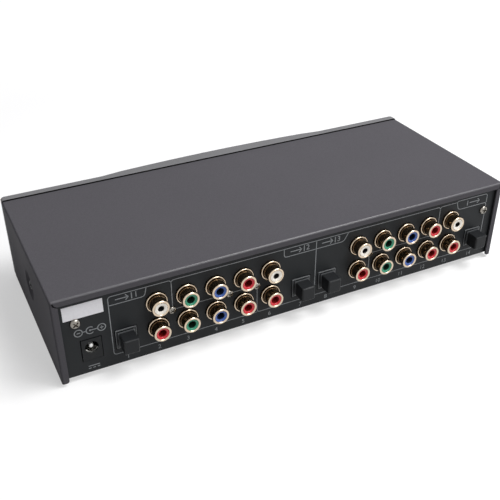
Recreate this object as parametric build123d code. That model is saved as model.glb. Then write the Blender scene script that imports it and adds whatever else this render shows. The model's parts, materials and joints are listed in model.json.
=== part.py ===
from build123d import *
import math
import os

# A powered signal selector box: folded steel case, bowed plastic fascia, and a rear panel of
# phono and optical sockets. Sizes are in millimetres. +Z is up, the fascia faces -Y, the rear
# panel faces +Y, and the origin is under the middle of the box on the surface it stands on.

# Clearances: between nested pieces, in close fits, behind turned edges, at free edges, and round
# the sockets that show in the rear panel's cut-outs
nest_gap = 0.1
fit_gap = 0.05
panel_gap = 0.7
edge_gap = 0.4
cutout_gap = 0.35

# Folded cover, with a screw at the bottom of a round dish in each end wall
box_width = 240.0
cover_depth = 95.8
cover_height = 44.2
sheet = 0.8
bend_inside = 0.1
lip_height = 3.2
flange_width = 3.2
flange_corner = 1.2
relief_width = 0.7
relief_inset = 1.0
dish_radius = 7.7
dish_floor = 3.5
dish_depth = 1.6
dish_height = 22.1

# Base pan and feet
foot_height = 3.0
foot_radius = 7.0
foot_inset = 16.0
foot_inset_y = 14.0
wall_drop = 1.3
pan_wall = 10.0
ear_reach = 12.5
ear_half = 6.0
dish_ear_half = 9.0
corner_relief = 3.0

# Screws; small rounds that repeat are drawn with a few flats to keep the model light
light_sides = 8
socket_sides = 10
foot_sides = 12
inlet_sides = 16
panel_screw_inset = 9.5
panel_screw_height = 28.3
head_radius = 2.35
head_height = 1.5
screw_radius = 1.45
small_head_radius = 1.9
small_head_height = 1.1
small_screw_radius = 1.15
screw_bite = 3.0

# Widths along the rear panel from the +X end, which share the box's width in these proportions: to
# the inlet, an optical socket, a phono block, two optical sockets, a phono block, an optical socket
# and the end. The columns of a phono block stand a column width apart.
row_widths = (15.2, 15.8, 15.0, 17.1, 14.6, 17.3, 16.7, 14.7)
column_width = 14.2

# Heights up the rear panel from the base, which share the box's height in these proportions: to the
# lower phono row, the upper phono row and the top. Every other height above the base follows them.
row_heights = (14.2, 13.8, 14.9)

# Phono sockets: two blocks of five columns in two rows, and the (column, row) of each colour
phono_columns = 5
phono_reach = 6.6
collar_radius = 5.1
collar_reach = 1.3
collar_gap = 0.3
shell_radius = 4.1
shell_bore = 2.95
insert_recess = 0.3
insert_hole = 1.65
insert_hole_depth = 5.0
block_depth = 12.0
block_edge = 6.9
block_chamfer = 1.0
screw_columns = (0, 2, 3)
insert_colours = {
    "white": ((0, 1), (4, 1)),
    "red": ((0, 0), (3, 0), (3, 1), (4, 0)),
    "green": ((1, 0), (1, 1)),
    "blue": ((2, 0), (2, 1)),
}

# Optical sockets and their dust plugs
optical_height = 13.4
optical_side = 9.8
optical_depth = 11.5
optical_proud = 0.3
optical_rim = 1.0
optical_ledge = 0.7
port_side = 5.8
port_key = 1.0
port_depth = 8.0
ferrule_radius = 1.4
ferrule_length = 4.0
plug_width = 7.0
plug_height = 7.4
plug_reach = 8.1
plug_neck = 0.8
plug_stub = 6.5
plug_bore = 1.9
plug_edge = 0.5

# Power inlet
inlet_width = 9.0
inlet_top = 18.1
inlet_depth = 14.0
inlet_hole_height = 13.65
inlet_hole = 3.1
inlet_hole_depth = 9.5
inlet_pin = 1.05
inlet_pin_setback = 1.0
inlet_contact = 0.45
inlet_contact_setback = 0.6

# Main board and what stands on it
board_thickness = 1.6
standoff_height = 4.6
standoff_radius = 3.2
board_inset = 12.0
board_front_gap = 12.7
standoff_inset = 8.0
standoff_rear = 16.0
standoff_front = 6.0
chip_height = 1.8
video_chip = (18.0, 10.0)
audio_chip = (13.0, 10.0)
controller_chip = (12.0, 12.0)
capacitor_radius = 4.0
capacitor_height = 11.5
regulator_width = 10.2
regulator_depth = 4.6
regulator_height = 15.0
header_width = 20.0
header_depth = 6.0
header_height = 7.0
header_inset = 10.0
ribbon_width = 15.0
ribbon_thickness = 0.9
ribbon_bend = 6.0
ribbon_rise = 10.0

# Where things stand on the main board, as shares of half its width from the middle, and of its
# depth from the front edge
video_across = (0.43, -0.04, -0.56)
audio_across = -0.33
controller_across = 0.22
regulator_across = 0.72
capacitors_across = (0.56, 0.44, -0.56, -0.67)
capacitors_along = 0.2
middle_along = 0.31
video_along = 0.53

# Bowed fascia
fascia_gap = 0.4
fascia_depth = 4.9
fascia_proud = 0.6
fascia_wall = 2.2
fascia_corner = 2.0
fascia_edge = 0.8
bow_height = 3.2
bow_ramp = 11.0
arc_margin = 1.3
arc_rise = 1.4
kink_radius = 30.0

# Keys, the switches they push, and the lamps and remote receiver above them
key_names = ("standby", "input_1", "input_2", "input_3")
key_pitch = 22.0
key_height = 18.0
key_wide = 13.0
key_tall = 7.0
key_corner = 1.5
key_proud = 0.8
key_edge = 0.5
key_gap = 0.3
key_collar = 1.5
key_collar_thickness = 1.0
key_stem = 1.5
key_travel = 0.8
cavity_room = 1.5
plunger_radius = 1.7
plunger_reach = 1.4
plunger_length = 2.2
switch_side = 6.0
switch_height = 3.4
spacer_length = 6.2
spacer_radius = 3.0
front_board_margin = 8.5
front_board_edge = 4.5
front_board_low = 9.0
spacer_inset = 4.5
lamp_rise = 10.0
pipe_radius = 1.2
lamp_side = 3.0
lamp_height = 2.4
window_wide = 15.0
window_tall = 8.0
window_rim = 2.0
receiver_wide = 6.0
receiver_tall = 7.0
receiver_depth = 3.0

# Levels worked out from the sizes above
base_z = foot_height
floor_z = base_z + sheet
wall_z = base_z - wall_drop
top_z = wall_z + cover_height
pan_top = top_z - sheet - edge_gap
board_low = floor_z + standoff_height
board_top = board_low + board_thickness
header_top = board_top + header_height
ribbon_z = header_top + ribbon_rise
height_share = (top_z - base_z) / sum(row_heights)
phono_rows = [base_z + sum(row_heights[:count]) * height_share for count in (1, 2)]
phono_middle = sum(phono_rows) / 2
optical_z = base_z + optical_height * height_share
inlet_z = base_z + inlet_hole_height * height_share
inlet_top_z = base_z + inlet_top * height_share
panel_screw_z = base_z + panel_screw_height * height_share
dish_z = base_z + dish_height * height_share
key_z = base_z + key_height * height_share
lamp_z = key_z + lamp_rise * height_share

# Stations from front to rear
panel_recess = sheet + panel_gap
front_reach = fascia_gap + fascia_depth + bow_height + key_proud
overall_depth = plug_reach - panel_recess + cover_depth + front_reach
rear_y = overall_depth / 2 - plug_reach + panel_recess
cover_front = rear_y - cover_depth
dish_y = rear_y - cover_depth / 2
panel_face = rear_y - panel_recess
panel_back = panel_face - sheet
socket_face = panel_face + optical_proud
fascia_back = cover_front - fascia_gap
fascia_end = fascia_back - fascia_depth
bow_front = fascia_end - bow_height
arc_y = fascia_end - arc_rise
wall_inside = fascia_back + sheet
front_board_face = wall_inside + spacer_length
front_board_back = front_board_face + board_thickness
plunger_front = front_board_face - switch_height - plunger_reach
board_rear = panel_back - edge_gap
board_front = front_board_back + board_front_gap
header_y = board_front + header_inset

# Stations along the box
half_width = box_width / 2
bend = bend_inside + sheet
fold_flat = math.sqrt(2) * (sheet + (math.sqrt(2) - 1) * bend) - 2 * sheet
pan_half = half_width - dish_depth - sheet - nest_gap
panel_screw_x = half_width - panel_screw_inset
board_half = half_width - board_inset
row_share = box_width / (sum(row_widths) + 2 * (phono_columns - 1) * column_width)
phono_pitch = column_width * row_share
key_x = [(1.5 - place) * key_pitch + key_pitch / 2 for place in range(len(key_names))]
window_x = key_x[-1] - key_pitch
cavity_half = max(key_x[0] + key_wide / 2, window_wide / 2 - window_x) + key_collar + cavity_room
arc_half = cavity_half + arc_margin
bow_half = arc_half + bow_ramp
front_board_half = cavity_half + front_board_margin


def row_places():
    """X of the power inlet, the optical sockets and the first column of each phono block."""
    x = half_width
    places = []
    for width in row_widths[:-1]:
        x -= width * row_share
        places.append(x)
        if len(places) in (3, 6):
            x -= (phono_columns - 1) * phono_pitch
    inlet, optical_1, block_1, optical_2, optical_3, block_2, optical_4 = places
    return inlet, (optical_1, optical_2, optical_3, optical_4), (block_1, block_2)


inlet_x, optical_x, phono_first_x = row_places()


def bow_y(x):
    """Front of the fascia's arc at a distance x from its middle."""
    sag = bow_height - arc_rise
    radius = (arc_half ** 2 + sag ** 2) / (2 * sag)
    return bow_front + radius - math.sqrt(radius ** 2 - x ** 2)


cavity_y = bow_y(cavity_half) + fascia_wall


def slab(x, y, z):
    """A block between three pairs of limits."""
    limits = [sorted(pair) for pair in (x, y, z)]
    sizes = [high - low for low, high in limits]
    middle = [(low + high) / 2 for low, high in limits]
    return Pos(*middle) * Box(*sizes)


def along_y(outline, start, end, x, z):
    """A flat outline carried along +Y from start to end, its own Y turned down."""
    return Pos(x, start, z) * Rot(-90, 0, 0) * extrude(outline, end - start)


def rod(radius, start, end, x, z):
    """A round bar along Y."""
    return along_y(Circle(radius), start, end, x, z)


def light_rod(radius, start, end, x, z, sides=light_sides):
    """A bar along Y with flats instead of a round side."""
    return along_y(RegularPolygon(radius, sides), start, end, x, z)


def light_post(radius, low, high, x, y, sides=light_sides):
    """A bar along Z with flats instead of a round side."""
    return Pos(x, y, low) * extrude(RegularPolygon(radius, sides), high - low)


def eased_bar(width, height, corner, start, end, x, z):
    """A rectangular bar along Y with its long edges cut off."""
    return along_y(chamfer(Rectangle(width, height).vertices(), corner), start, end, x, z)


def group(pieces):
    """Separate solids kept together as one node."""
    return Compound([solid for piece in pieces for solid in piece.solids()])


def both_ends(shape):
    """A shape at the +X end and its mirror image at the other end."""
    return [shape, mirror(shape, Plane.YZ)]


def screw(head, height, shank, length):
    """A screw with its seat at y = 0 and its head towards +Y."""
    return light_rod(head, 0, height, 0, 0) + light_rod(shank, -length, 0, 0, 0)


def phono_column(block, column):
    return phono_first_x[block] - column * phono_pitch


def phono_places(block):
    return [(phono_column(block, column), z) for column in range(phono_columns) for z in phono_rows]


def block_screw_places(block):
    return [(phono_column(block, column) - phono_pitch / 2, phono_middle) for column in screw_columns]


def spacer_places():
    heights = (base_z + front_board_low + spacer_inset, pan_top - front_board_edge - spacer_inset)
    return [(side * (front_board_half - spacer_inset), z) for side in (1, -1) for z in heights]


def foot_places():
    depths = (cover_front + foot_inset_y, rear_y - foot_inset_y)
    return [(side * (half_width - foot_inset), y) for side in (1, -1) for y in depths]


def standoff_places():
    depths = (board_rear - standoff_rear, board_front + standoff_front)
    return [(side * (board_half - standoff_inset), y) for side in (1, -1) for y in depths]


def ease_folds(folds, inset):
    """Rounds the outside of folds, or cuts flats on their inside that keep the sheet's thickness."""
    return chamfer(folds, fold_flat) if inset else fillet(folds, bend)


def folded_case(inset):
    """The cover's outside with rounded folds, or with an inset its inside, eased by flats."""
    spill = 2 * inset
    case = slab((inset - half_width, half_width - inset),
                (cover_front - spill, rear_y - inset), (wall_z - spill, top_z - inset))
    folds = case.edges().filter_by(Axis.Y).group_by(Axis.Z)[-1]
    folds += case.edges().filter_by(Axis.Z).group_by(Axis.Y)[-1]
    folds += case.edges().filter_by(Axis.X).group_by(Axis.Z)[-1].group_by(Axis.Y)[-1]
    return ease_folds(folds, inset)


def relief_slit():
    """The curved slit that parts the turned-down lip from the turned-in flange."""
    inner = lip_height - relief_inset
    outer = inner + relief_width
    x = half_width - flange_width - relief_inset / 2
    z = top_z - relief_inset
    span = (rear_y - bend, rear_y + sheet)
    ring = rod(outer, *span, x, z) - rod(inner, *span, x, z)
    return ring & slab((x, x + outer), span, (z - outer, z))


def dish_hollow():
    """The flat-bottomed cap of a ball that is pressed into an end wall."""
    offset = (dish_radius ** 2 - dish_floor ** 2 - dish_depth ** 2) / (2 * dish_depth)
    radius = math.hypot(dish_radius, offset)
    ball = Pos(half_width + offset, dish_y, dish_z) * Sphere(radius)
    return ball & slab((half_width - dish_depth, half_width + sheet), (dish_y - radius, dish_y + radius),
                       (dish_z - radius, dish_z + radius))


def dish_bulge():
    """The dish's other side: a cone that stands inside the end wall."""
    height = dish_depth + sheet / 2
    cone = Cone(dish_radius + sheet, dish_floor + sheet, height)
    return Pos(half_width - sheet / 2 - height / 2, dish_y, dish_z) * Rot(0, -90, 0) * cone


def end_hole(radius, x, length):
    """A hole along X on the dish's axis."""
    bar = extrude(RegularPolygon(radius, light_sides), length, both=True)
    return Pos(x, dish_y, dish_z) * Rot(0, 90, 0) * bar


def make_cover():
    cover = folded_case(0) - folded_case(sheet)
    reach = half_width - flange_width
    cover -= slab((-reach, reach), (rear_y - 2 * sheet, rear_y + sheet),
                  (wall_z - sheet, top_z - lip_height))
    feet = cover.edges().filter_by(Axis.Y).group_by(Axis.Z)[0].filter_by(
        lambda edge: abs(abs(edge.center().X) - reach) < fit_gap)
    cover = fillet(feet, flange_corner)
    for added in both_ends(dish_bulge()):
        cover += added
    hole = end_hole(screw_radius + nest_gap, half_width - dish_depth, 2 * dish_depth)
    for cutter in (relief_slit(), dish_hollow(), hole):
        for removed in both_ends(cutter):
            cover -= removed
    return cover


def pan_block(inset):
    """The base pan's outside, or with an inset its hollow, with the floor's folds eased."""
    rear = panel_back + 2 * inset
    block = slab((inset - pan_half, pan_half - inset), (fascia_back + inset, rear),
                 (base_z + inset, pan_top + 2 * inset))
    low = block.edges().group_by(Axis.Z)[0]
    return ease_folds(low.filter_by(Axis.Y) + low.filter_by(Axis.X).group_by(Axis.Y)[0], inset)


def make_base_pan():
    """Floor, low end walls with taller ears, and a front wall with an opening behind the keys."""
    pan = pan_block(0) - pan_block(sheet)
    inside = pan_half - sheet
    ear_low = max(inlet_top_z, optical_z + optical_side / 2) + edge_gap
    ear_top = panel_screw_z + ear_half
    wall = (inside - nest_gap, pan_half + sheet)
    trim = slab(wall, (fascia_back - sheet, panel_back + sheet), (base_z + pan_wall, pan_top + sheet))
    trim -= slab(wall, (dish_y - dish_ear_half, dish_y + dish_ear_half), (base_z, dish_z + ear_half))
    trim -= slab(wall, (panel_back - ear_reach, panel_back), (base_z, ear_top))
    corner = slab((pan_half - corner_relief, pan_half + sheet),
                  (fascia_back - sheet, fascia_back + corner_relief), (base_z + bend, pan_top + sheet))
    ear = slab((pan_half - ear_reach, inside), (panel_back - sheet, panel_back), (ear_low, ear_top))
    ear_hole = light_rod(screw_radius + fit_gap, panel_back - 2 * sheet, panel_back + sheet,
                         panel_screw_x, panel_screw_z)
    wall_hole = end_hole(screw_radius + fit_gap, pan_half, 2 * sheet)
    for removed in both_ends(trim) + both_ends(corner):
        pan -= removed
    for added in both_ends(ear):
        pan += added
    for removed in both_ends(ear_hole) + both_ends(wall_hole):
        pan -= removed
    return pan - slab((-cavity_half, cavity_half), (fascia_back - sheet, wall_inside + sheet),
                      (key_z - key_tall, lamp_z + window_tall))


def make_rear_panel():
    reach = half_width - sheet - edge_gap
    through = (panel_back - sheet, panel_face + sheet)
    panel = slab((-reach, reach), (panel_back, panel_face), (base_z, pan_top))
    for block in range(len(phono_first_x)):
        for x, z in phono_places(block):
            panel -= light_rod(collar_radius + collar_gap, *through, x, z, socket_sides)
        for x, z in block_screw_places(block):
            panel -= light_rod(small_screw_radius + nest_gap, *through, x, z)
    half = optical_side / 2 + cutout_gap
    for x in optical_x:
        panel -= slab((x - half, x + half), through, (optical_z - half, optical_z + half))
    half = inlet_width / 2 + cutout_gap
    panel -= slab((inlet_x - half, inlet_x + half), through,
                  (board_top - cutout_gap, inlet_top_z + cutout_gap))
    for side in (1, -1):
        panel -= light_rod(screw_radius + nest_gap, *through, side * panel_screw_x, panel_screw_z)
    return panel


def fascia_block():
    """The moulding's outside: straight ends, and a middle that bows out beyond two gentle steps."""
    arc = ThreePointArc((arc_half, arc_y), (0, bow_front), (-arc_half, arc_y))
    edge = Polyline((-arc_half, arc_y), (-bow_half, fascia_end), (-half_width, fascia_end),
                    (-half_width, fascia_back), (half_width, fascia_back), (half_width, fascia_end),
                    (bow_half, fascia_end), (arc_half, arc_y))
    block = Pos(0, 0, wall_z) * extrude(make_face([arc, edge]), cover_height + fascia_proud)
    uprights = block.edges().filter_by(Axis.Z)
    kinks = uprights.filter_by(lambda edge: abs(edge.center().X) < bow_half + fit_gap)
    block = fillet(kinks, kink_radius)
    uprights = block.edges().filter_by(Axis.Z)
    ends = uprights.filter_by(lambda edge: abs(edge.center().X) > half_width - fit_gap)
    block = fillet(ends.group_by(Axis.Y)[0], fascia_corner)
    rims = block.edges().filter_by(lambda edge: edge.center().Y < fascia_back - fit_gap).group_by(Axis.Z)
    return chamfer(rims[0] + rims[-1], fascia_edge)


def make_fascia():
    fascia = fascia_block()
    shelf = (base_z + fascia_wall, top_z - fascia_wall)
    reach = half_width - fascia_wall - fascia_corner
    fascia -= slab((-reach, reach), (fascia_end + fascia_wall, fascia_back + sheet), shelf)
    fascia -= slab((-cavity_half, cavity_half), (cavity_y, fascia_back + sheet), shelf)
    through = (bow_front - sheet, fascia_back)
    for x in key_x:
        fascia -= eased_bar(key_wide + 2 * key_gap, key_tall + 2 * key_gap, key_corner,
                            *through, x, key_z)
        fascia -= light_rod(pipe_radius + fit_gap, *through, x, lamp_z)
    return fascia - eased_bar(window_wide, window_tall, key_corner, *through, window_x, lamp_z)


def make_ir_window():
    """A dark lens filling the fascia's window, with a rim behind it that stops it falling out."""
    play = 2 * fit_gap
    pane = eased_bar(window_wide - play, window_tall - play, key_corner,
                     bow_y(window_x), cavity_y + fit_gap, window_x, lamp_z)
    half = (window_wide / 2 + key_collar, window_tall / 2 + key_collar)
    return pane + slab((window_x - half[0], window_x + half[0]), (cavity_y, cavity_y + window_rim),
                       (lamp_z - half[1], lamp_z + half[1]))


def make_key(x):
    """A cap that stands out of the fascia, a collar that keeps it in, and the stem behind it."""
    front = bow_y(x) - key_proud
    collar = cavity_y + nest_gap
    back = collar + key_collar_thickness
    half = (key_wide / 2 + key_collar, key_tall / 2 + key_collar)
    cap = eased_bar(key_wide, key_tall, key_corner, front, collar, x, key_z)
    cap = chamfer(cap.edges().group_by(Axis.Y)[0], key_edge)
    cap += slab((x - half[0], x + half[0]), (collar, back), (key_z - half[1], key_z + half[1]))
    return cap + light_rod(key_stem, back, plunger_front, x, key_z)


def make_plunger(x):
    return light_rod(plunger_radius, plunger_front, plunger_front + plunger_length, x, key_z)


def make_switch_body(x):
    front = front_board_face - switch_height
    half = switch_side / 2
    body = slab((x - half, x + half), (front, front_board_face), (key_z - half, key_z + half))
    depth = plunger_length - plunger_reach + key_travel + fit_gap
    return body - light_rod(plunger_radius + fit_gap, front - sheet, front + depth, x, key_z)


def make_lamp(x):
    half = lamp_side / 2
    return slab((x - half, x + half), (front_board_face - lamp_height, front_board_face),
                (lamp_z - half, lamp_z + half))


def make_light_pipe(x):
    return light_rod(pipe_radius, bow_y(x), front_board_face - lamp_height, x, lamp_z)


def make_receiver():
    return eased_bar(receiver_wide, receiver_tall, key_corner,
                     front_board_face - receiver_depth, front_board_face, window_x, lamp_z)


def make_front_board():
    return slab((-front_board_half, front_board_half), (front_board_face, front_board_back),
                (base_z + front_board_low, pan_top - front_board_edge))


def make_main_board():
    return slab((-board_half, board_half), (board_front, board_rear), (board_low, board_top))


def make_phono_block(block):
    """The moulding that carries ten sockets, standing on the main board behind the panel."""
    ends = (phono_column(block, phono_columns - 1) - block_edge, phono_column(block, 0) + block_edge)
    moulding = slab(ends, (panel_back - block_depth, panel_back),
                    (board_top, phono_rows[1] + block_edge))
    moulding = chamfer(moulding.edges().group_by(Axis.Y)[0].group_by(Axis.Z)[-1], block_chamfer)
    for x, z in block_screw_places(block):
        moulding -= light_rod(small_screw_radius + fit_gap, panel_back - screw_bite - nest_gap,
                              panel_back + sheet, x, z)
    return moulding


def make_phono_shell(x, z):
    """A collar that passes through the panel and the barrel that a plug's sleeve grips."""
    tip = panel_face + phono_reach
    collar = panel_face + collar_reach
    shell = light_rod(collar_radius, panel_back, collar, x, z, socket_sides)
    shell += rod(shell_radius, collar, tip, x, z)
    return shell - light_rod(shell_bore, panel_back - sheet, tip + sheet, x, z)


def make_phono_insert(x, z):
    face = panel_face + phono_reach - insert_recess
    insert = light_rod(shell_bore - fit_gap, panel_back, face, x, z)
    return insert - light_rod(insert_hole, face - insert_hole_depth, face + sheet, x, z)


def port_outline(side):
    """A square port with its two upper corners cut off, its top towards -Y of the sketch."""
    half = side / 2
    cut = half - port_key
    return make_face(Polyline((-half, half), (half, half), (half, -cut), (cut, -half), (-cut, -half),
                              (-half, -cut), close=True))


def make_optical_socket(x):
    half = optical_side / 2
    inner = half - optical_rim
    front = socket_face + sheet
    body = slab((x - half, x + half), (panel_back - optical_depth, panel_back),
                (board_top, optical_z + half))
    body += slab((x - half, x + half), (panel_back, socket_face), (optical_z - half, optical_z + half))
    body -= slab((x - inner, x + inner), (socket_face - optical_ledge, front),
                 (optical_z - inner, optical_z + inner))
    return body - along_y(port_outline(port_side), socket_face - port_depth, front, x, optical_z)


def make_ferrule(x):
    back = socket_face - port_depth
    return light_rod(ferrule_radius, back, back + ferrule_length, x, optical_z)


def make_dust_plug(x):
    """A square grip outside the socket and a hollow stub in its port."""
    seat = socket_face + plug_neck
    end = panel_face + plug_reach
    front = socket_face - plug_stub
    half = (plug_width / 2, plug_height / 2)
    grip = slab((x - half[0], x + half[0]), (seat, end), (optical_z - half[1], optical_z + half[1]))
    grip = chamfer(grip.edges().group_by(Axis.Y)[-1], plug_edge)
    stub = along_y(port_outline(port_side - 2 * nest_gap), front, seat, x, optical_z)
    return grip + stub - light_rod(plug_bore, front - sheet, socket_face, x, optical_z)


def make_inlet():
    half = inlet_width / 2
    body = slab((inlet_x - half, inlet_x + half), (socket_face - inlet_depth, socket_face),
                (board_top, inlet_top_z))
    return body - light_rod(inlet_hole, socket_face - inlet_hole_depth, socket_face + sheet,
                            inlet_x, inlet_z, inlet_sides)


def make_inlet_pin():
    pin = light_rod(inlet_pin, socket_face - inlet_hole_depth, socket_face - inlet_pin_setback,
                    inlet_x, inlet_z)
    return chamfer(pin.edges().group_by(Axis.Y)[-1], inlet_pin / 3)


def make_inlet_contact():
    """A curved leaf along the lower side of the inlet's hole."""
    outside = inlet_hole - fit_gap
    span = (socket_face - inlet_hole_depth, socket_face - inlet_contact_setback)
    leaf = light_rod(outside, *span, inlet_x, inlet_z, inlet_sides)
    leaf -= light_rod(outside - inlet_contact, *span, inlet_x, inlet_z, inlet_sides)
    return leaf & slab((inlet_x - inlet_hole, inlet_x + inlet_hole), span,
                       (inlet_z - inlet_hole, inlet_z - inlet_pin))


def board_spot(across, along):
    """X and Y of a place on the main board."""
    return across * board_half, board_front + along * (board_rear - board_front)


def make_chip(across, along, size):
    x, y = board_spot(across, along)
    length, width = size
    return slab((x - length / 2, x + length / 2), (y - width / 2, y + width / 2),
                (board_top, board_top + chip_height))


def make_capacitor(across, along):
    x, y = board_spot(across, along)
    return light_post(capacitor_radius, board_top, board_top + capacitor_height, x, y)


def make_regulator(across, along):
    """A flat package on three legs."""
    x, y = board_spot(across, along)
    half = regulator_width / 2
    low = board_top + chip_height
    body = slab((x - half, x + half), (y - regulator_depth / 2, y + regulator_depth / 2),
                (low, low + regulator_height))
    leg = regulator_depth / 8
    for step in (-1, 0, 1):
        middle = x + step * regulator_width / 4
        body += slab((middle - leg, middle + leg), (y - leg, y + leg), (board_top, low))
    return body


def make_headers():
    half = header_width / 2
    depth = header_depth / 2
    return [slab((-half, half), (front_board_back, front_board_back + header_height),
                 (ribbon_z - depth, ribbon_z + depth)),
            slab((-half, half), (header_y - depth, header_y + depth), (board_top, header_top))]


def make_ribbon():
    """A flat cable: straight out of the front board, one bend, straight down to the main board."""
    start = (0, front_board_back + header_height, ribbon_z)
    corner = (0, header_y, ribbon_z)
    end = (0, header_y, header_top)
    path = FilletPolyline(start, corner, end, radius=ribbon_bend)
    across = Plane(origin=start, x_dir=(1, 0, 0), z_dir=(0, 1, 0))
    return sweep(across * Rectangle(ribbon_width, ribbon_thickness), path)


def case_nodes():
    wall_screw = screw(head_radius, head_height, screw_radius, 2 * sheet + 2 * dish_depth)
    cover_screw = Pos(half_width - dish_depth, dish_y, dish_z) * Rot(0, 0, -90) * wall_screw
    panel_screw = Pos(panel_screw_x, panel_face, panel_screw_z) * wall_screw
    return {
        "cover": make_cover(),
        "cover_screws": group(both_ends(cover_screw)),
        "base_pan": make_base_pan(),
        "rubber_feet": group([light_post(foot_radius, 0, base_z, x, y, foot_sides)
                              for x, y in foot_places()]),
        "rear_panel": make_rear_panel(),
        "panel_screws": group(both_ends(panel_screw)),
        "fascia": make_fascia(),
        "main_board": make_main_board(),
        "board_standoffs": group([light_post(standoff_radius, floor_z, board_low, x, y, sides=6)
                                  for x, y in standoff_places()]),
    }


def socket_nodes():
    block_screw = screw(small_head_radius, small_head_height, small_screw_radius, sheet + screw_bite)
    nodes = {
        "power_inlet": make_inlet(),
        "power_inlet_pin": make_inlet_pin(),
        "power_inlet_contact": make_inlet_contact(),
        "optical_ferrules": group([make_ferrule(x) for x in optical_x]),
    }
    for number, x in enumerate(optical_x, 1):
        nodes[f"optical_socket_{number}"] = make_optical_socket(x)
        nodes[f"dust_plug_{number}"] = make_dust_plug(x)
    for block in range(len(phono_first_x)):
        nodes[f"phono_block_{block + 1}"] = make_phono_block(block)
        nodes[f"phono_shells_{block + 1}"] = group(
            [make_phono_shell(x, z) for x, z in phono_places(block)])
        nodes[f"phono_block_screws_{block + 1}"] = group(
            [Pos(x, panel_face, z) * block_screw for x, z in block_screw_places(block)])
    for colour, spots in insert_colours.items():
        nodes[f"phono_inserts_{colour}"] = group(
            [make_phono_insert(phono_column(block, column), phono_rows[row])
             for block in range(len(phono_first_x)) for column, row in spots])
    return nodes


def control_nodes():
    nodes = {
        "ir_window": make_ir_window(),
        "ir_receiver": make_receiver(),
        "light_pipes": group([make_light_pipe(x) for x in key_x]),
        "indicator_lamps": group([make_lamp(x) for x in key_x]),
        "switch_bodies": group([make_switch_body(x) for x in key_x]),
        "front_board": make_front_board(),
        "front_board_spacers": group(
            [light_rod(spacer_radius, wall_inside, front_board_face, x, z, sides=6)
             for x, z in spacer_places()]),
    }
    for name, x in zip(key_names, key_x):
        nodes[f"{name}_key"] = make_key(x)
        nodes[f"{name}_plunger"] = make_plunger(x)
    return nodes


def board_nodes():
    """What stands on the main board, and the cable that joins it to the front board."""
    return {
        "video_switches": group([make_chip(across, video_along, video_chip) for across in video_across]),
        "audio_switch": make_chip(audio_across, middle_along, audio_chip),
        "controller": make_chip(controller_across, middle_along, controller_chip),
        "regulator": make_regulator(regulator_across, middle_along),
        "capacitors": group([make_capacitor(across, capacitors_along) for across in capacitors_across]),
        "board_headers": group(make_headers()),
        "ribbon_cable": make_ribbon(),
    }


os.makedirs("parts", exist_ok=True)
for maker in (case_nodes, socket_nodes, control_nodes, board_nodes):
    for node, shape in maker().items():
        export_step(shape, f"parts/{node}.step")
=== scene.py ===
import json
import math
import bmesh
import bpy
from mathutils import Matrix, Vector


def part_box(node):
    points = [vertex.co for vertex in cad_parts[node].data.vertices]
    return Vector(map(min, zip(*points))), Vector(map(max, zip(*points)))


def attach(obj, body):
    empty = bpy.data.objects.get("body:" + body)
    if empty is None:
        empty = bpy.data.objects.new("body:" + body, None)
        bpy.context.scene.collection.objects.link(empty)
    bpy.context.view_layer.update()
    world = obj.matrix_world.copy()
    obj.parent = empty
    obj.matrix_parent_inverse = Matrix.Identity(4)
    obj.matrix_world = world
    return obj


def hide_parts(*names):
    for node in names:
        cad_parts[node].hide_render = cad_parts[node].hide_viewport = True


# Looks of the selector box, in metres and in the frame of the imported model: fine turned sockets,
# screw heads, printed marks and finishes, then the camera, the lights and a pale floor.

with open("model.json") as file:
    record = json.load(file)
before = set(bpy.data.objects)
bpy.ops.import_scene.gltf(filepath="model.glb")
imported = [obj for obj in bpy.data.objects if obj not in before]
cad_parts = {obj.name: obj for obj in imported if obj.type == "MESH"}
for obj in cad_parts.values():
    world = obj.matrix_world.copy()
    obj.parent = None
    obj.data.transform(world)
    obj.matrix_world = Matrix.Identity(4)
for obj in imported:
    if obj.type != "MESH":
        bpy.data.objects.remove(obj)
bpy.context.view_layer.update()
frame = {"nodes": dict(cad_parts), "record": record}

MM = 0.001
blocks = (1, 2)
columns = 5
optical_sockets = (1, 2, 3, 4)

# Meshes: the least turn between faces that shows as an edge, and how near two corners count as one
smooth_angle = math.radians(35)
same_corner = 1e-7

# Phono sockets: their ends along Y, and their collars, barrels and bores, with the arcs of the two
# rounded edges in degrees
panel_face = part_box("rear_panel")[1].y
socket_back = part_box("phono_shells_1")[0].y
socket_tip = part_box("phono_shells_1")[1].y
collar_radius = 5.1 * MM
collar_top = panel_face + 1.3 * MM
collar_rim = 0.35 * MM
collar_dish = 0.9 * MM
barrel_radius = 4.1 * MM
barrel_foot = 0.1 * MM
bore_radius = 2.95 * MM
rim_arc = (0, 125)
lip_arc = (20, 180)
lip_steps = 12
turned_sides = 48

# Colour pieces in the sockets: their (column, row) places, their sizes, how far the face and its inner edge
# fall in shares of the recess, and the well in each, coloured dark as painted shade
insert_spots = {
    "white": ((0, 1), (4, 1)),
    "red": ((0, 0), (3, 0), (3, 1), (4, 0)),
    "green": ((1, 0), (1, 1)),
    "blue": ((2, 0), (2, 1)),
}
insert_recess = {"white": 0.15 * MM, "red": 0.3 * MM, "green": 0.3 * MM, "blue": 0.3 * MM}
insert_hole = {"white": 1.5 * MM, "red": 1.9 * MM, "green": 1.9 * MM, "blue": 1.9 * MM}
insert_gap = 0.01 * MM
insert_edge = 0.3 * MM
insert_floor = 0.3 * MM
face_fall = 0.5
edge_fall = 1.5
well_drop = 0.35 * MM
hole_depth = 4.0 * MM

# Finishes: the usual range of the noise, the detail of the fine grain and of the broad drift under
# it, how far the drift moves the roughness, and the height of the relief
noise_range = (0.3, 0.7)
fine_detail = 3.0
broad_detail = 2.0
broad_grain = 22.0
rough_drift = 0.08
relief_height = 0.02 * MM

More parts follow.
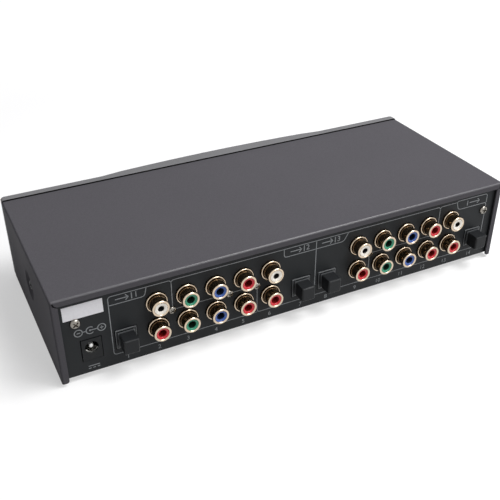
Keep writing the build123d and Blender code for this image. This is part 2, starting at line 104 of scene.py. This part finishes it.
# Screw heads: heights, the turn from one to the next, and a cross recess in shares of the head
head_height = 1.5 * MM
small_head_height = 1.1 * MM
head_sides = 32
head_turn = 0.7
dome_steps = 7
dome_power = 0.7
rim_share = 0.3
cross_arm = 0.62
cross_width = 0.16
cross_depth = 0.75

# Moulded edges: how far and in how many steps they are rounded, how near corners are joined first,
# and the least turn between faces that counts as an edge
eased_edge = 0.35 * MM
edge_steps = 2
weld_reach = 0.001 * MM
edge_angle = math.radians(40)

# Flanges of the dust plugs, and how far a grip's back stands off its socket
flange_width = 7.8 * MM
flange_height = 8.0 * MM
flange_depth = 0.4 * MM
grip_back = 0.8 * MM

# Printing on the rear panel, in millimetres: heights of the lines, where the zones they part
# begin and step along the panel, and widths of ink
ink_lift = 0.03
line_top = 40.0
line_middle = 24.1
line_low = 8.55
tab_low = 35.45
zone_start = 95.4
zone_steps = (66.5, 24.0)
zone_middle = -7.7
later_steps = (-39.2, -81.2)
zone_end = -111.9
tab_ends = ((79.0, 78.0), (9.8, 9.8), (-23.2, -25.7))
output_tab = (-93.3, -91.7)
output_top = line_top + 0.6
output_side = 29.0
line_break = 0.2
stroke_gap = 0.3
corner = 1.6
line_width = 0.38
sign_width = 0.45
legend_z = 5.5
legend_height = 2.3
letter_share = 1.4
least_step = 0.01

# Signs in the tabs, in millimetres: places along the panel, arrows and strokes
tab_places = {1: 87.0, 2: 1.2, 3: -16.0}
tab_letter = 2.9
tab_arrow = 6.0
tab_bar = 1.6
number_offset = -4.2
bar_offset = -2.2
arrow_offset = 2.2
arrow_head = 1.4
output_place = -103.6
output_arrow = 6.5
output_lift = 0.3
output_bar = 4.6

# Signs round the power inlet, in millimetres: polarity above it and direct current below it, with
# offsets along the panel from its middle, and the start and sweep of the open ring in degrees
sign_z = 25.65
ring = 1.75
dot = 0.25
bar = 0.8
minus_offset = 4.9
tip_offset = -0.3
plus_offset = -5.4
open_ring = (225, 270)
current_z = 6.4
dash_z = 5.2
current_half = 2.6
dash_half = 0.6
dash_offsets = (2.0, 0.0, -2.0)

# Blank sticker
sticker_x = (97.7 * MM, 115.4 * MM)
sticker_z = (33.45 * MM, 40.55 * MM)
sticker_thickness = 0.1 * MM

# Least lean of a face that belongs to the cover's rear fold, and to the back of the fascia
fold_slope = 0.1
back_slope = 0.5

# Camera: place and clipping in metres, turns in degrees, lens and sensor in millimetres
camera_place = (0.15856, 0.31160, 0.22995)
camera_azimuth = 153.62
camera_dip = 32.16
camera_roll = -0.106
camera_lens = 55.12
sensor_width = 36.0
camera_clip = (0.01, 20.0)

# World that fills the shadows
world_colour = (0.96, 0.97, 1.0, 1)
world_level = 0.12

# Floor: half its side in metres, its colour, and the glow that rises to white far from the box
floor_reach = 4.0
floor_pale = (0.5, 0.5, 0.5, 1)
glow_near = 0.5
glow_far = 1.0
glow_span = (0.3, 1.2)


def add_piece(name, mesh, body="case"):
    """A piece of the scene that moves with a body of the frame."""
    piece = bpy.data.objects.new(name, mesh)
    bpy.context.scene.collection.objects.link(piece)
    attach(piece, body)
    return piece


def mesh_from(name, points, faces):
    """A mesh that is smooth wherever its faces meet at a shallow angle."""
    mesh = bpy.data.meshes.new(name)
    mesh.from_pydata(points, [], faces)
    mesh.polygons.foreach_set("use_smooth", [True] * len(mesh.polygons))
    mesh.set_sharp_from_angle(angle=smooth_angle)
    mesh.update()
    return mesh


def block_mesh(name, x, y, z):
    """A plain block between the limits of its three axes."""
    points = [(px, py, pz) for px in x for py in y for pz in z]
    faces = [(0, 1, 3, 2), (4, 6, 7, 5), (0, 4, 5, 1), (2, 3, 7, 6), (0, 2, 6, 4), (1, 5, 7, 3)]
    return mesh_from(name, points, faces)


def lathe(name, profile, centres, segments=turned_sides):
    """A profile of (radius, y) points turned about lines along Y through several (x, z) centres.

    A point of radius 0 makes a single corner on the line, which closes that end.
    """
    points = []
    faces = []
    for x, z in centres:
        rings = []
        for radius, y in profile:
            steps = segments if radius else 1
            rings.append(range(len(points), len(points) + steps))
            for step in range(steps):
                angle = 2 * math.pi * step / segments
                points.append((x + radius * math.cos(angle), y, z + radius * math.sin(angle)))
        for near, far in zip(rings, rings[1:]):
            for step in range(segments):
                corners = (near[step % len(near)], far[step % len(far)],
                           far[(step + 1) % len(far)], near[(step + 1) % len(near)])
                faces.append(tuple(dict.fromkeys(corners)))
    return mesh_from(name, points, faces)


def paint_bands(piece, profile, bands, finish, segments=turned_sides):
    """Gives some of the bands between the points of a turned piece's profile a finish of their own; here that
    paints highlight on the shells and shade in the wells.
    """
    mesh = piece.data
    mesh.materials.append(finish)
    for polygon in mesh.polygons:
        if polygon.index // segments % (len(profile) - 1) in bands:
            polygon.material_index = len(mesh.materials) - 1


def round_over(radius, y, size, start, end, steps=8):
    """Points of an arc in a profile, from one angle to another in degrees, 0 being straight outwards."""
    angles = [math.radians(start + (end - start) * step / steps) for step in range(steps + 1)]
    return [(radius + size * math.cos(angle), y + size * math.sin(angle)) for angle in angles]


def solid_boxes(node):
    """The low and high corners of a node's separate solids, from +X to -X and from low to high."""
    shape = bmesh.new()
    shape.from_mesh(frame["nodes"][node].data)
    bmesh.ops.remove_doubles(shape, verts=shape.verts, dist=same_corner)
    boxes = []
    left = set(shape.verts)
    while left:
        edge = [left.pop()]
        spots = []
        while edge:
            vertex = edge.pop()
            spots.append(vertex.co.copy())
            others = {bond.other_vert(vertex) for bond in vertex.link_edges} & left
            left -= others
            edge.extend(others)
        low = Vector([min(spot[axis] for spot in spots) for axis in range(3)])
        high = Vector([max(spot[axis] for spot in spots) for axis in range(3)])
        boxes.append((low, high))
    shape.free()
    return sorted(boxes, key=lambda box: (-round(box[0].x, 4), box[0].z))


def centre_of(box):
    """The middle of a box given by its corners."""
    return (box[0] + box[1]) / 2


def socket_centres(block):
    """(x, z) of every socket of a block by column and row."""
    spots = [centre_of(box) for box in solid_boxes(f"phono_shells_{block}")]
    return {(place // 2, place % 2): (spot.x, spot.z) for place, spot in enumerate(spots)}


# Surfaces

def grain_of(tree, scale, detail):
    """Noise in the model's own coordinates."""
    place = tree.nodes.new("ShaderNodeTexCoord")
    noise = tree.nodes.new("ShaderNodeTexNoise")
    noise.inputs["Scale"].default_value = scale
    noise.inputs["Detail"].default_value = detail
    tree.links.new(place.outputs["Object"], noise.inputs["Vector"])
    return noise.outputs["Fac"]


def between(tree, fac, low, high):
    """A number that follows the noise between two limits."""
    spread = tree.nodes.new("ShaderNodeMapRange")
    spread.inputs["From Min"].default_value = noise_range[0]
    spread.inputs["From Max"].default_value = noise_range[1]
    spread.inputs["To Min"].default_value = low
    spread.inputs["To Max"].default_value = high
    tree.links.new(fac, spread.inputs["Value"])
    return spread.outputs["Result"]


def surface(name, colour, rough, metal=0.0, grain=1500.0, tint=0.12, bump=0.05, shine=0.5):
    """A finish whose colour, roughness and height vary with a fine grain and a broad drift."""
    material = bpy.data.materials.new(name)
    material.use_nodes = True
    tree = material.node_tree
    shader = tree.nodes["Principled BSDF"]
    shader.inputs["Metallic"].default_value = metal
    shader.inputs["Specular IOR Level"].default_value = shine
    fine = grain_of(tree, grain, fine_detail)
    broad = grain_of(tree, broad_grain, broad_detail)
    mix = tree.nodes.new("ShaderNodeMix")
    mix.data_type = "RGBA"
    mix.inputs["A"].default_value = (*[part * (1 - tint) for part in colour], 1)
    mix.inputs["B"].default_value = (*[min(1, part * (1 + tint)) for part in colour], 1)
    tree.links.new(between(tree, fine, 0.0, 1.0), mix.inputs["Factor"])
    tree.links.new(mix.outputs["Result"], shader.inputs["Base Color"])
    drift = between(tree, broad, rough * (1 - rough_drift), min(1.0, rough * (1 + rough_drift)))
    tree.links.new(drift, shader.inputs["Roughness"])
    relief = tree.nodes.new("ShaderNodeBump")
    relief.inputs["Strength"].default_value = bump
    relief.inputs["Distance"].default_value = relief_height
    tree.links.new(fine, relief.inputs["Height"])
    tree.links.new(relief.outputs["Normal"], shader.inputs["Normal"])
    return material


finishes = {
    "cover_paint": surface("cover_paint", (0.079, 0.076, 0.084), 0.6, grain=2600, bump=0.1, shine=0.02),
    "panel_paint": surface("panel_paint", (0.014, 0.0155, 0.017), 0.5, grain=2600, bump=0.1, shine=0.18),
    "fascia_plastic": surface("fascia_plastic", (0.07, 0.07, 0.073), 0.45, grain=1800, bump=0.15, shine=0.4),
    "key_plastic": surface("key_plastic", (0.09, 0.09, 0.1), 0.3, grain=1200),
    "switch_plastic": surface("switch_plastic", (0.03, 0.03, 0.03), 0.5),
    "dark_lens": surface("dark_lens", (0.03, 0.006, 0.008), 0.1, bump=0.01),
    "pipe_plastic": surface("pipe_plastic", (0.7, 0.75, 0.72), 0.2),
    "lamp_plastic": surface("lamp_plastic", (0.2, 0.7, 0.25), 0.25),
    "board_laminate": surface("board_laminate", (0.03, 0.17, 0.09), 0.35, grain=700),
    "spacer_metal": surface("spacer_metal", (0.72, 0.58, 0.3), 0.3, metal=1.0),
    "nickel_screw": surface("nickel_screw", (0.26, 0.245, 0.22), 0.2, metal=1.0, tint=0.06),
    "black_screw": surface("black_screw", (0.012, 0.012, 0.013), 0.4, shine=0.2),
    "block_plastic": surface("block_plastic", (0.02, 0.02, 0.021), 0.5),
    "socket_plastic": surface("socket_plastic", (0.012, 0.013, 0.014), 0.4, grain=1400, bump=0.02,
                              shine=0.18),
    "plug_plastic": surface("plug_plastic", (0.013, 0.014, 0.0155), 0.4, grain=1400, bump=0.02,
                            shine=0.18),
    # The gilt is darkened as painted shade for the dark reflections on collars and barrels; a paler copy is
    # the painted highlight
    "gilt": surface("gilt", (0.20, 0.14, 0.085), 0.2, metal=1.0, tint=0.05, bump=0.02),
    "insert_white": surface("insert_white", (0.88, 0.835, 0.755), 0.35, tint=0.03),
    "insert_red": surface("insert_red", (0.56, 0.012, 0.025), 0.28, tint=0.06),
    "insert_green": surface("insert_green", (0.018, 0.25, 0.14), 0.28, tint=0.06),
    "insert_blue": surface("insert_blue", (0.03, 0.09, 0.34), 0.28, tint=0.06),
    "ferrule_plastic": surface("ferrule_plastic", (0.6, 0.6, 0.6), 0.2),
    "foot_rubber": surface("foot_rubber", (0.02, 0.02, 0.02), 0.85, grain=1000, bump=0.3),
    "chip_resin": surface("chip_resin", (0.03, 0.03, 0.032), 0.6),
    "can_sleeve": surface("can_sleeve", (0.05, 0.06, 0.12), 0.3),
    "header_plastic": surface("header_plastic", (0.8, 0.77, 0.68), 0.5),
    "ribbon_plastic": surface("ribbon_plastic", (0.55, 0.56, 0.58), 0.45, grain=500),
}
# A paler copy of the gilt for the collar rims and the socket lips: a painted highlight
painted_highlight_gilt = surface("painted_highlight_gilt", (0.62, 0.51, 0.39), 0.22, metal=1.0, tint=0.04, bump=0.02)
# Pale metal for the inlet's pin and spring contact: partly their own nickel, partly made brighter as a
# painted highlight
inlet_highlight_metals = {
    "power_inlet_pin": surface("bright_pin", (0.9, 0.9, 0.88), 0.3, metal=0.5, tint=0.04, bump=0.02),
    "power_inlet_contact": surface("spring_leaf", (0.62, 0.61, 0.58), 0.2, metal=1.0, tint=0.04, bump=0.02),
}
fold_paint = surface("fold_paint", (0.079, 0.076, 0.084), 0.3, grain=2600, bump=0.05, shine=0.32)
# Near black for the back of the fascia: painted shade
painted_gap_shade = surface("painted_gap_shade", (0.006, 0.006, 0.0065), 0.6, shine=0.1)
# Lighter colour for the bevelled socket edges and the plug flanges: a painted highlight
painted_highlight_edge = surface("painted_highlight_edge", (0.09, 0.095, 0.10), 0.3, tint=0.1, bump=0.02)
ink = surface("ink", (0.22, 0.23, 0.24), 0.6, tint=0.1, bump=0.02)
paper = surface("paper", (0.78, 0.77, 0.80), 0.35, grain=900, tint=0.03, bump=0.02)
# Darker copies of the insert colours for the wells: painted shade in the holes
painted_well_shade = {
    "white": surface("well_white", (0.02, 0.019, 0.02), 0.6),
    "red": surface("well_red", (0.25, 0.004, 0.003), 0.6),
    "green": surface("well_green", (0.002, 0.025, 0.012), 0.6),
    "blue": surface("well_blue", (0.002, 0.009, 0.035), 0.6),
}

for entry in frame["record"]["subparts"]:
    node = frame["nodes"][entry["node"]]
    node.data.materials.clear()
    node.data.materials.append(finishes[entry["material_slot"]])
for node, metal in inlet_highlight_metals.items():
    frame["nodes"][node].data.materials[0] = metal


def paint_faces(node, finish, chosen):
    """Gives the faces of a node that look the chosen way a finish of their own."""
    mesh = frame["nodes"][node].data
    mesh.materials.append(finish)
    turn = frame["nodes"][node].matrix_world.to_3x3()
    for polygon in mesh.polygons:
        if chosen(turn @ polygon.normal):
            polygon.material_index = len(mesh.materials) - 1


# The cover's rear fold, where the paint is drawn smooth
paint_faces("cover", fold_paint, lambda facing: abs(facing.x) < fold_slope < min(facing.y, facing.z))
# The back of the fascia, coloured near black: painted shade for the dark gap between the fascia and the cover
paint_faces("fascia", painted_gap_shade, lambda facing: facing.y > back_slope)


def dress(piece, slot, *nodes):
    """Gives a piece the finish of a record slot, and lets it stand for the nodes it refines."""
    piece.data.materials.append(finishes[slot])
    if nodes:
        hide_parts(*nodes)
    return piece


# Moulded edges, bevelled; the socket frames' bevels are coloured lighter than the plastic as a painted
# highlight

def ease_edges(node, width, edge=None):
    """Bevels the edges of a node's solid, once its faces share their corners, and gives the bevels a finish
    of their own, here a lighter colour that is a painted highlight.
    """
    weld = frame["nodes"][node].modifiers.new("joined", "WELD")
    weld.merge_threshold = weld_reach
    bevel = frame["nodes"][node].modifiers.new("eased", "BEVEL")
    bevel.width = width
    bevel.segments = edge_steps
    bevel.limit_method = "ANGLE"
    bevel.angle_limit = edge_angle
    if edge:
        frame["nodes"][node].data.materials.append(edge)
        bevel.material = 1


for number in optical_sockets:
    ease_edges(f"optical_socket_{number}", eased_edge, painted_highlight_edge)
    ease_edges(f"dust_plug_{number}", eased_edge)


# Thin flanges at the back of the dust plugs' grips, coloured lighter than the plugs as a painted highlight

for number in optical_sockets:
    middle = centre_of(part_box(f"dust_plug_{number}"))
    rim_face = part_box(f"optical_socket_{number}")[1].y
    flange = add_piece(f"plug_flange_{number}",
                       block_mesh("flange", (middle.x - flange_width / 2, middle.x + flange_width / 2),
                                  (rim_face + grip_back - flange_depth, rim_face + grip_back),
                                  (middle.z - flange_height / 2, middle.z + flange_height / 2)),
                       f"dust_plug_{number}")
    flange.data.materials.append(painted_highlight_edge)


# Phono sockets, turned finely

lip = (barrel_radius - bore_radius) / 2
back_profile = [(bore_radius, socket_back), (collar_radius, socket_back)]
rim_profile = round_over(collar_radius - collar_rim, collar_top - collar_rim, collar_rim, *rim_arc)
neck_profile = [(barrel_radius + barrel_foot, collar_top - collar_dish),
                (barrel_radius, collar_top - collar_dish), (barrel_radius, socket_tip - lip)]
lip_profile = round_over(barrel_radius - lip, socket_tip - lip, lip, *lip_arc, lip_steps)
shell_profile = back_profile + rim_profile + neck_profile + lip_profile + back_profile[:1]
rim_first = len(back_profile)
lip_first = rim_first + len(rim_profile) + len(neck_profile)
# Bands of the collar rims and the lips, which get the painted highlight
painted_highlight_bands = [*range(rim_first, rim_first + len(rim_profile) - 1),
                  *range(lip_first, lip_first + len(lip_profile) - 1)]


def insert_profile(recess, hole):
    """A colour piece that falls gently to its blind centre hole, whose last two bands are the well, coloured
    dark as painted shade.
    """
    face = socket_tip - recess
    outside = bore_radius - insert_gap
    well_top = face - face_fall * recess - well_drop
    well_low = well_top - hole_depth
    back = well_low - insert_floor
    return [(0, back), (outside, back), (outside, face), (hole + insert_edge, face - face_fall * recess),
            (hole, face - edge_fall * recess), (hole, well_top), (hole, well_low), (0, well_low)]


sockets = {block: socket_centres(block) for block in blocks}
for block in blocks:
    centres = list(sockets[block].values())
    shells = add_piece(f"turned_shells_{block}", lathe("shells", shell_profile, centres))
    dress(shells, "gilt", f"phono_shells_{block}")
    paint_bands(shells, shell_profile, painted_highlight_bands, painted_highlight_gilt)
for colour, spots in insert_spots.items():
    centres = [sockets[block][spot] for block in blocks for spot in spots]
    profile = insert_profile(insert_recess[colour], insert_hole[colour])
    inserts = add_piece(f"turned_inserts_{colour}", lathe("inserts", profile, centres))
    dress(inserts, f"insert_{colour}", f"phono_inserts_{colour}")
    paint_bands(inserts, profile, (len(profile) - 3, len(profile) - 2), painted_well_shade[colour])


# Screws

def cross_tool(radius, height):
    """Two crossed bars at the top of a screw head."""
    shape = bmesh.new()
    arm = radius * cross_arm
    width = radius * cross_width
    for reach in ((arm, width), (width, arm)):
        for vertex in bmesh.ops.create_cube(shape, size=2.0)["verts"]:
            depth = height * (1 + cross_depth * vertex.co.y)
            vertex.co = Vector((vertex.co.x * reach[0], depth, vertex.co.z * reach[1]))
    mesh = bpy.data.meshes.new("cross")
    shape.to_mesh(mesh)
    shape.free()
    return mesh


def head_mesh(radius, height):
    """A domed screw head on the plane y = 0, with a cross recess."""
    dome = [(radius * math.cos(angle) ** dome_power, height * (rim_share + (1 - rim_share) * math.sin(angle)))
            for angle in [0.5 * math.pi * step / dome_steps for step in range(dome_steps)]]
    blank = lathe("head", [(0, 0), (radius, 0)] + dome + [(0, height)], [(0, 0)], head_sides)
    head = bpy.data.objects.new("head", blank)
    tool = bpy.data.objects.new("cross", cross_tool(radius, height))
    for helper in (head, tool):
        bpy.context.scene.collection.objects.link(helper)
    cut = head.modifiers.new("cut", "BOOLEAN")
    cut.solver = "EXACT"
    cut.use_self = True
    cut.object = tool
    bpy.context.view_layer.update()
    result = bpy.data.meshes.new_from_object(head.evaluated_get(bpy.context.evaluated_depsgraph_get()))
    for helper in (head, tool):
        bpy.data.objects.remove(helper)
    result.set_sharp_from_angle(angle=smooth_angle)
    return result


def screw_heads(node, slot, height, facing):
    """Fine heads over a node's screws; facing turns +Y to the way a screw's head looks."""
    boxes = solid_boxes(node)
    width = boxes[0][1].z - boxes[0][0].z
    joined = bmesh.new()
    for count, box in enumerate(boxes):
        turn = facing(centre_of(box))
        out = turn @ Vector((0, 1, 0))
        far = max(out.dot(box[0]), out.dot(box[1])) - height
        seat = centre_of(box) + out * (far - out.dot(centre_of(box)))
        copy = head_mesh(width / 2, height)
        spin = Matrix.Rotation(head_turn * (count + 1), 4, "Y")
        copy.transform(Matrix.Translation(seat) @ turn.to_4x4() @ spin)
        joined.from_mesh(copy)
    mesh = bpy.data.meshes.new(node)
    joined.to_mesh(mesh)
    joined.free()
    return dress(add_piece(f"heads_{node}", mesh), slot, node)


def rearwards(spot):
    """No turn: the head looks to +Y wherever the screw is."""
    return Matrix.Identity(3)


def outwards(spot):
    """A turn to the end of the box that the screw is nearer to."""
    return Matrix.Rotation(math.copysign(math.pi / 2, -spot.x), 3, "Z")


screw_heads("panel_screws", "nickel_screw", head_height, rearwards)
for block in blocks:
    screw_heads(f"phono_block_screws_{block}", "nickel_screw", small_head_height, rearwards)
screw_heads("cover_screws", "black_screw", head_height, outwards)


# Printing on the rear panel: paths are (x, z) points in millimetres

def rounded(points, radius=corner, steps=5):
    """A path with every inner corner turned into an arc."""
    path = [Vector(points[0])]
    for before, middle, after in zip(points, points[1:], points[2:]):
        middle = Vector(middle)
        enter = (Vector(before) - middle).normalized()
        leave = (Vector(after) - middle).normalized()
        for step in range(steps + 1):
            part = step / steps
            path.append(middle + radius * (enter * (1 - part) ** 2 + leave * part ** 2))
    path.append(Vector(points[-1]))
    return path[:1] + [spot for before, spot in zip(path, path[1:]) if (spot - before).length > least_step]


def circle(x, z, radius, start=0, sweep=360, steps=28):
    """A path round a centre, or part of the way round it."""
    angles = [math.radians(start + sweep * step / steps) for step in range(steps + 1)]
    return [Vector((x + radius * math.cos(angle), z + radius * math.sin(angle))) for angle in angles]


def stroke(path, width=line_width):
    """A flat line of ink along a path: its points and faces."""
    points = []
    for place, spot in enumerate(path):
        along = (path[min(place + 1, len(path) - 1)] - path[max(place - 1, 0)]).normalized()
        across = Vector((-along.y, along.x)) * width / 2
        for side in (spot + across, spot - across):
            points.append((side.x * MM, panel_face + ink_lift * MM, side.y * MM))
    faces = [(2 * at, 2 * at + 2, 2 * at + 3, 2 * at + 1) for at in range(len(path) - 1)]
    return points, faces


def printed(name, strokes):
    """Several strokes of ink as one piece."""
    points = []
    faces = []
    for stroke_points, stroke_faces in strokes:
        first = len(points)
        points += stroke_points
        faces += [tuple(first + index for index in face) for face in stroke_faces]
    piece = add_piece(name, mesh_from(name, points, faces))
    piece.data.materials.append(ink)


def line(*points):
    """A line of ink with sharp corners."""
    return stroke([Vector(point) for point in points])


def bent(*points):
    """A line of ink with round corners."""
    return stroke(rounded(points))


step_1, jog_1 = zone_steps
jog_2, step_2 = later_steps
zone_lines = [
    bent((jog_1, line_low), (zone_start, line_low), (zone_start, line_top), (step_1, line_top),
         (step_1, line_middle), (jog_1, line_middle), (jog_1, line_low),
         (zone_middle - line_break / 2, line_low)),
    bent((step_1, line_top - corner), (step_1, line_top), (zone_middle, line_top)),
    line((zone_middle, line_top + line_break), (zone_middle, line_low + line_width / 2)),
    bent((zone_middle, line_top), (step_2, line_top), (step_2, line_middle), (jog_2, line_middle),
         (jog_2, line_low)),
    bent((step_2, line_top - corner), (step_2, line_top), (output_tab[1] - stroke_gap, line_top)),
    bent((zone_middle - stroke_gap, line_low), (zone_end, line_low), (zone_end, output_side - line_break)),
]
for start, (low, high) in zip((zone_start, zone_middle, zone_middle), tab_ends):
    zone_lines.append(bent((start, tab_low), (low, tab_low), (high, line_top)))
zone_lines.append(bent((zone_end, output_side), (zone_end, tab_low), (output_tab[0], tab_low),
                       (output_tab[1], output_top), (zone_end, output_top), (zone_end, tab_low)))
printed("zone_lines", zone_lines)


def marked(name, text, x, z, height):
    """Plain characters printed on the panel, read from behind the box."""
    curve = bpy.data.curves.new(name, "FONT")
    curve.body = text
    curve.size = height * letter_share * MM
    curve.align_x = "CENTER"
    curve.align_y = "CENTER"
    helper = bpy.data.objects.new(name, curve)
    bpy.context.scene.collection.objects.link(helper)
    bpy.context.view_layer.update()
    mesh = bpy.data.meshes.new_from_object(helper.evaluated_get(bpy.context.evaluated_depsgraph_get()))
    bpy.data.objects.remove(helper)
    mesh.transform(Matrix(((-1, 0, 0, x * MM), (0, 0, 1, panel_face + ink_lift * MM),
                           (0, 1, 0, z * MM), (0, 0, 0, 1))))
    mesh.materials.clear()
    mesh.materials.append(ink)
    add_piece(name, mesh)


def arrow(x, z, length, head):
    """A sign of an arrow towards -X, from its middle."""
    tip = Vector((x - length / 2, z))
    barbs = [tip + Vector((head, head)), tip, tip + Vector((head, -head))]
    return [stroke([Vector((x + length / 2, z)), tip], sign_width), stroke(barbs, sign_width)]


def upright(x, z, half):
    """A short stroke across a sign, from its middle."""
    return stroke([Vector((x, z + half)), Vector((x, z - half))], sign_width)


tab_z = (line_top + tab_low) / 2
tab_signs = []
for number, x in tab_places.items():
    marked(f"zone_number_{number}", str(number), x + number_offset, tab_z, tab_letter)
    tab_signs += arrow(x + arrow_offset, tab_z, tab_arrow, arrow_head)
    tab_signs.append(upright(x + bar_offset, tab_z, tab_bar))
output_z = tab_z + output_lift
tab_signs += arrow(output_place, output_z, output_arrow, arrow_head)
tab_signs.append(upright(output_place + output_bar, output_z, arrow_head))
printed("tab_signs", tab_signs)

legend_x = [centre_of(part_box(f"optical_socket_{number}")).x / MM for number in optical_sockets]
for block in blocks:
    legend_x += [sockets[block][column, 0][0] / MM for column in range(columns)]
for number, x in enumerate(sorted(legend_x, reverse=True), 1):
    marked(f"legend_{number}", str(number), x, legend_z, legend_height)


# Signs round the power inlet

inlet_x = centre_of(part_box("power_inlet")).x / MM
minus_x = inlet_x + minus_offset
centre_x = inlet_x + tip_offset
plus_x = inlet_x + plus_offset
inlet_paths = [
    circle(minus_x, sign_z, ring),
    circle(centre_x, sign_z, ring, *open_ring),
    circle(plus_x, sign_z, ring),
    circle(centre_x, sign_z, dot),
    [Vector((minus_x + bar, sign_z)), Vector((minus_x - bar, sign_z))],
    [Vector((plus_x + bar, sign_z)), Vector((plus_x - bar, sign_z))],
    [Vector((plus_x, sign_z + bar)), Vector((plus_x, sign_z - bar))],
    [Vector((minus_x - ring, sign_z)), Vector((centre_x + ring, sign_z))],
    [Vector((centre_x, sign_z)), Vector((plus_x + ring, sign_z))],
    [Vector((inlet_x + current_half, current_z)), Vector((inlet_x - current_half, current_z))],
]
for offset in dash_offsets:
    dash_x = inlet_x + offset
    inlet_paths.append([Vector((dash_x + dash_half, dash_z)), Vector((dash_x - dash_half, dash_z))])
printed("inlet_signs", [stroke(path, sign_width) for path in inlet_paths])


# A blank sticker on the panel

sticker_y = (panel_face, panel_face + sticker_thickness)
sticker = add_piece("blank_sticker", block_mesh("sticker", sticker_x, sticker_y, sticker_z))
sticker.data.materials.append(paper)


# Camera, lights and floor

scene = bpy.context.scene
camera_data = bpy.data.cameras.new("camera")
camera_data.sensor_width = sensor_width
camera_data.lens = camera_lens
camera_data.clip_start = camera_clip[0]
camera_data.clip_end = camera_clip[1]
camera = bpy.data.objects.new("camera", camera_data)
scene.collection.objects.link(camera)
camera.matrix_world = (Matrix.Translation(camera_place)
                       @ Matrix.Rotation(math.radians(camera_azimuth), 4, "Z")
                       @ Matrix.Rotation(math.radians(90 - camera_dip), 4, "X")
                       @ Matrix.Rotation(math.radians(camera_roll), 4, "Z"))
scene.camera = camera


def soft_light(name, place, target, size, power, colour=(1.0, 1.0, 1.0)):
    """A square soft box that faces a point."""
    data = bpy.data.lights.new(name, "AREA")
    data.shape = "SQUARE"
    data.size = size
    data.energy = power
    data.color = colour
    lamp = bpy.data.objects.new(name, data)
    scene.collection.objects.link(lamp)
    lamp.location = place
    lamp.rotation_euler = (Vector(target) - Vector(place)).to_track_quat("-Z", "Y").to_euler()


soft_light("overhead", (-0.45, 0.25, 0.95), (0, 0, 0), size=0.6, power=13.0)
soft_light("far_side", (-0.8, -1.6, 0.95), (0, 0, 0.02), size=2.2, power=13.0, colour=(0.95, 0.93, 1.0))
soft_light("near_side", (-0.5, 1.45, 0.9), (0, 0, 0.02), size=0.8, power=9.2)


def backdrop(tree, lit, seen):
    """A shader that the camera, mirrors and glass see as one thing, and the rest of the light as another."""
    path = tree.nodes.new("ShaderNodeLightPath")
    any_ray = path.outputs["Is Camera Ray"]
    for ray in ("Is Glossy Ray", "Is Transmission Ray"):
        either = tree.nodes.new("ShaderNodeMath")
        either.operation = "MAXIMUM"
        tree.links.new(any_ray, either.inputs[0])
        tree.links.new(path.outputs[ray], either.inputs[1])
        any_ray = either.outputs["Value"]
    mix = tree.nodes.new("ShaderNodeMixShader")
    tree.links.new(any_ray, mix.inputs["Fac"])
    tree.links.new(lit, mix.inputs[1])
    tree.links.new(seen, mix.inputs[2])
    return mix.outputs["Shader"]


world = bpy.data.worlds.new("studio")
world.use_nodes = True
scene.world = world
tree = world.node_tree
studio = tree.nodes["Background"]
studio.inputs["Color"].default_value = world_colour
studio.inputs["Strength"].default_value = world_level
white = tree.nodes.new("ShaderNodeBackground")
white.inputs["Color"].default_value = (1, 1, 1, 1)
tree.links.new(backdrop(tree, studio.outputs["Background"], white.outputs["Background"]),
               tree.nodes["World Output"].inputs["Surface"])

floor_material = bpy.data.materials.new("floor")
floor_material.use_nodes = True
tree = floor_material.node_tree
tree.nodes.remove(tree.nodes["Principled BSDF"])
pale = tree.nodes.new("ShaderNodeBsdfDiffuse")
pale.inputs["Color"].default_value = floor_pale
place = tree.nodes.new("ShaderNodeTexCoord")
away = tree.nodes.new("ShaderNodeVectorMath")
away.operation = "LENGTH"
tree.links.new(place.outputs["Object"], away.inputs[0])
rise = tree.nodes.new("ShaderNodeMapRange")
rise.inputs["From Min"].default_value = glow_span[0]
rise.inputs["From Max"].default_value = glow_span[1]
rise.inputs["To Min"].default_value = glow_near
rise.inputs["To Max"].default_value = glow_far
tree.links.new(away.outputs["Value"], rise.inputs["Value"])
glow = tree.nodes.new("ShaderNodeEmission")
tree.links.new(rise.outputs["Result"], glow.inputs["Strength"])
both = tree.nodes.new("ShaderNodeAddShader")
tree.links.new(pale.outputs["BSDF"], both.inputs[0])
tree.links.new(glow.outputs["Emission"], both.inputs[1])
tree.links.new(backdrop(tree, pale.outputs["BSDF"], both.outputs["Shader"]),
               tree.nodes["Material Output"].inputs["Surface"])
floor_corners = [(x * floor_reach, y * floor_reach, 0) for x, y in ((-1, -1), (1, -1), (1, 1), (-1, 1))]
floor_mesh = mesh_from("floor", floor_corners, [(0, 1, 2, 3)])
floor_mesh.materials.append(floor_material)
floor = bpy.data.objects.new("floor", floor_mesh)
scene.collection.objects.link(floor)

scene.view_settings.view_transform = "Standard"
